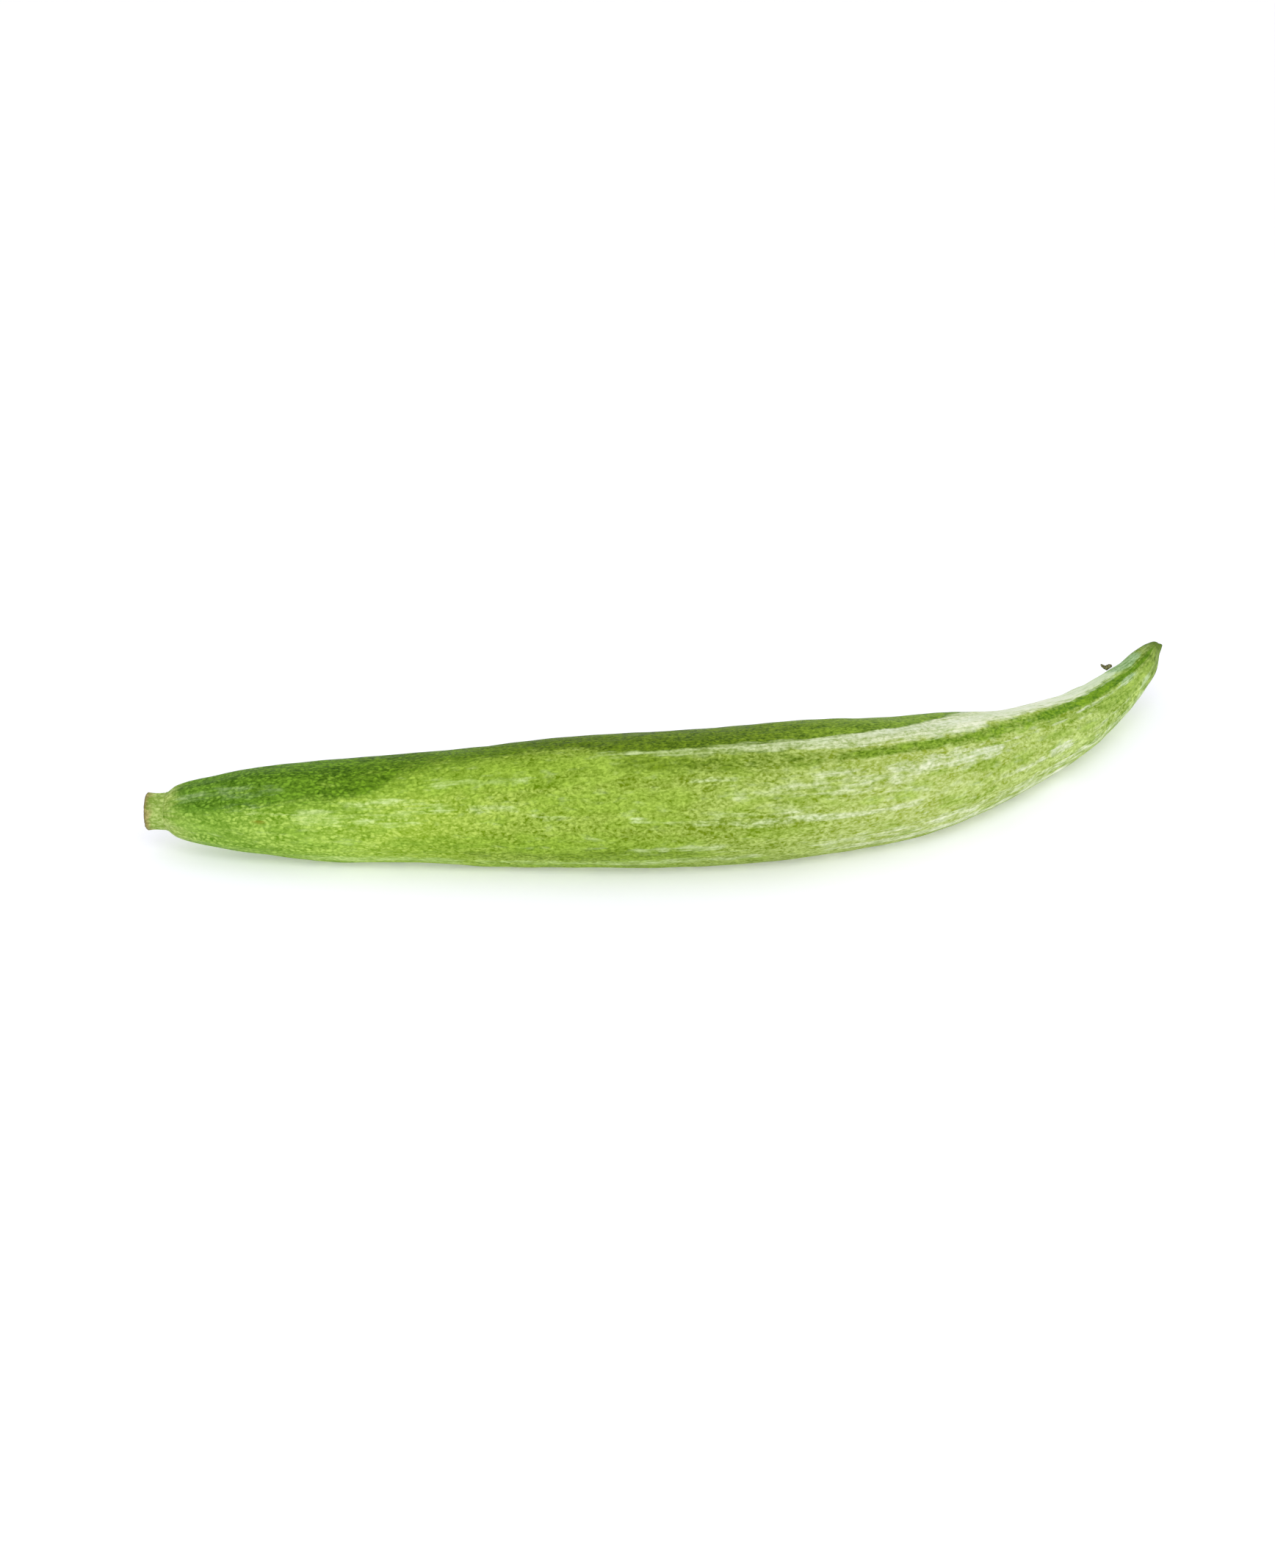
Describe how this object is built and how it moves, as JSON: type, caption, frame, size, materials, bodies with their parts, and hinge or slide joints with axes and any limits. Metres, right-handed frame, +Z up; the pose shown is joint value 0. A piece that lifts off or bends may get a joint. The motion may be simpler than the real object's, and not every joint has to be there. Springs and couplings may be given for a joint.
{
  "type": "snake gourd",
  "caption": "Short bent snake gourd with a cut stalk stub and a tapering blossom end, lying at rest on a flat surface.",
  "frame": {"origin": "under the middle of the bounding box, at the height of the surface that the gourd rests on", "axes": "+X from the stalk end towards the blossom end, +Z up, and the blossom end bends round towards +Y"},
  "size_m": [0.368, 0.1694, 0.047],
  "materials": {
    "gourd_skin": "waxy satin skin, mottled light on green",
    "stalk": "matte, fibrous where it is cut",
    "dry_tendril": "dry and matte"
  },
  "bodies": {
    "root": {"fruit": "gourd_skin", "stalk_stub": "stalk", "dried_tendril_scrap": "dry_tendril"}
  },
  "joints": []
}
